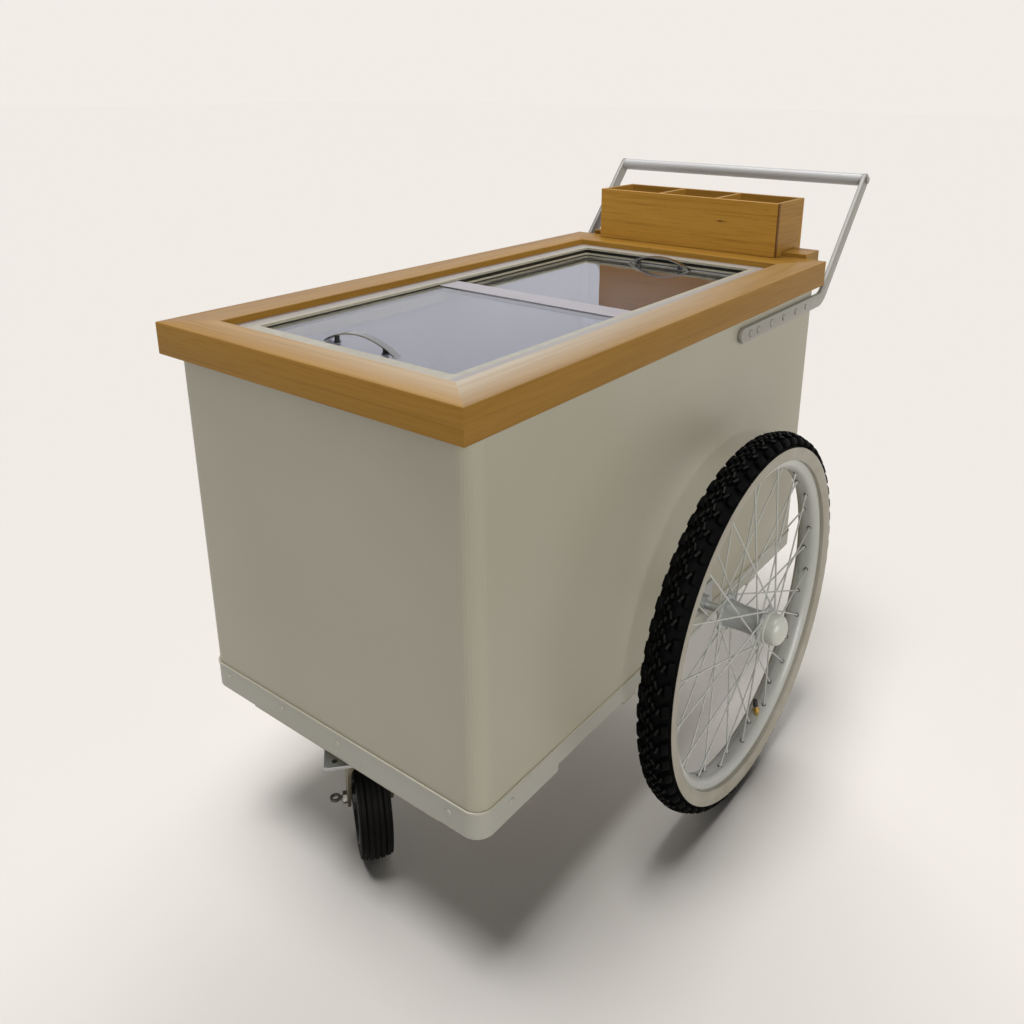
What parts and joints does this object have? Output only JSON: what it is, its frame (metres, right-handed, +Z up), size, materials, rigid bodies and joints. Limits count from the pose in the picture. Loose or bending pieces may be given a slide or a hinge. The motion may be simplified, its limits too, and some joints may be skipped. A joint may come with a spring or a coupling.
{
  "type": "ice cream cart",
  "caption": "Insulated push cart with sliding glass lids in a wooden top frame, a wooden caddy and push bar behind, spoked wheels and a swivel caster.",
  "frame": {"origin": "on the floor, under the middle of the cart's overall box, push handle included", "axes": "+Z up; -Y towards the front, over the caster; +Y towards the push handle; +X towards the cart's right side as the picture shows it"},
  "size_m": [0.8956, 1.2604, 1.0269],
  "materials": {
    "pale_paint": "satin cream-grey paint on sheet steel",
    "band_paint": "satin grey paint on folded steel strip",
    "honey_wood": "clear-lacquered honey-coloured softwood with fine straight grain",
    "satin_aluminium": "satin anodised aluminium",
    "cream_plastic": "smooth cream extruded plastic",
    "clear_glass": "clear polished safety glass",
    "bright_chrome": "polished chrome plate",
    "black_rubber": "black tyre rubber",
    "white_rubber": "off-white side wall rubber",
    "painted_wheel": "off-white enamel on rim, spokes and hub",
    "zinc_steel": "zinc-plated steel",
    "golden_brass": "bare brass",
    "white_liner": "smooth white liner"
  },
  "bodies": {
    "cart": {"cabinet_shell": "pale_paint", "cabinet_liner": "white_liner", "base_band": "band_paint", "cross_member_mid": "band_paint", "cross_member_rear": "band_paint", "caster_beam": "band_paint", "top_rail_front": "honey_wood", "top_rail_rear": "honey_wood", "top_rail_left": "honey_wood", "top_rail_right": "honey_wood", "rear_wood_bar": "honey_wood", "lid_track": "cream_plastic", "lid_flange": "satin_aluminium", "caddy_front": "honey_wood", "caddy_back": "honey_wood", "caddy_floor": "honey_wood", "caddy_divider_1": "honey_wood", "caddy_divider_2": "honey_wood", "caddy_end_left": "honey_wood", "caddy_end_right": "honey_wood", "handle_arm_left": "satin_aluminium", "handle_arm_right": "satin_aluminium", "push_bar": "satin_aluminium", "bar_bolt_left": "zinc_steel", "bar_bolt_right": "zinc_steel", "axle_left": "zinc_steel", "axle_right": "zinc_steel", "caster_plate": "zinc_steel"},
    "front_lid": {"front_lid_glass": "clear_glass", "front_lid_strip": "cream_plastic", "front_lid_handle": "bright_chrome"},
    "rear_lid": {"rear_lid_glass": "clear_glass", "rear_lid_handle": "bright_chrome"},
    "wheel_left": {"tyre_left": "black_rubber", "whitewall_left": "white_rubber", "spoked_wheel_left": "painted_wheel", "hub_cap_left": "painted_wheel", "valve_left": "golden_brass"},
    "wheel_right": {"tyre_right": "black_rubber", "whitewall_right": "white_rubber", "spoked_wheel_right": "painted_wheel", "hub_cap_right": "painted_wheel", "valve_right": "golden_brass"},
    "caster_swivel": {"caster_fork": "pale_paint", "caster_axle_bolt": "zinc_steel", "caster_lever": "zinc_steel"},
    "caster_wheel": {"caster_tyre": "black_rubber", "caster_core": "pale_paint"}
  },
  "joints": [
    {"name": "wheel_left_spin", "type": "hinge", "parent": "cart", "child": "wheel_left", "pos_m": [-0.376, -0.01375, 0.33], "axis": [1, 0, 0], "continuous": true},
    {"name": "wheel_right_spin", "type": "hinge", "parent": "cart", "child": "wheel_right", "pos_m": [0.376, -0.01375, 0.33], "axis": [1, 0, 0], "continuous": true},
    {"name": "caster_swivel", "type": "hinge", "parent": "cart", "child": "caster_swivel", "pos_m": [0, -0.53975, 0.22], "axis": [0, 0, 1], "continuous": true},
    {"name": "caster_wheel_spin", "type": "hinge", "parent": "caster_swivel", "child": "caster_wheel", "pos_m": [-0.03569, -0.51401, 0.1], "axis": [0.585, 0.8111, 0], "continuous": true},
    {"name": "front_lid_slide", "type": "slide", "parent": "cart", "child": "front_lid", "axis": [0, 1, 0], "range_m": [0, 0.385]},
    {"name": "rear_lid_slide", "type": "slide", "parent": "cart", "child": "rear_lid", "axis": [0, 1, 0], "range_m": [-0.385, 0]}
  ]
}
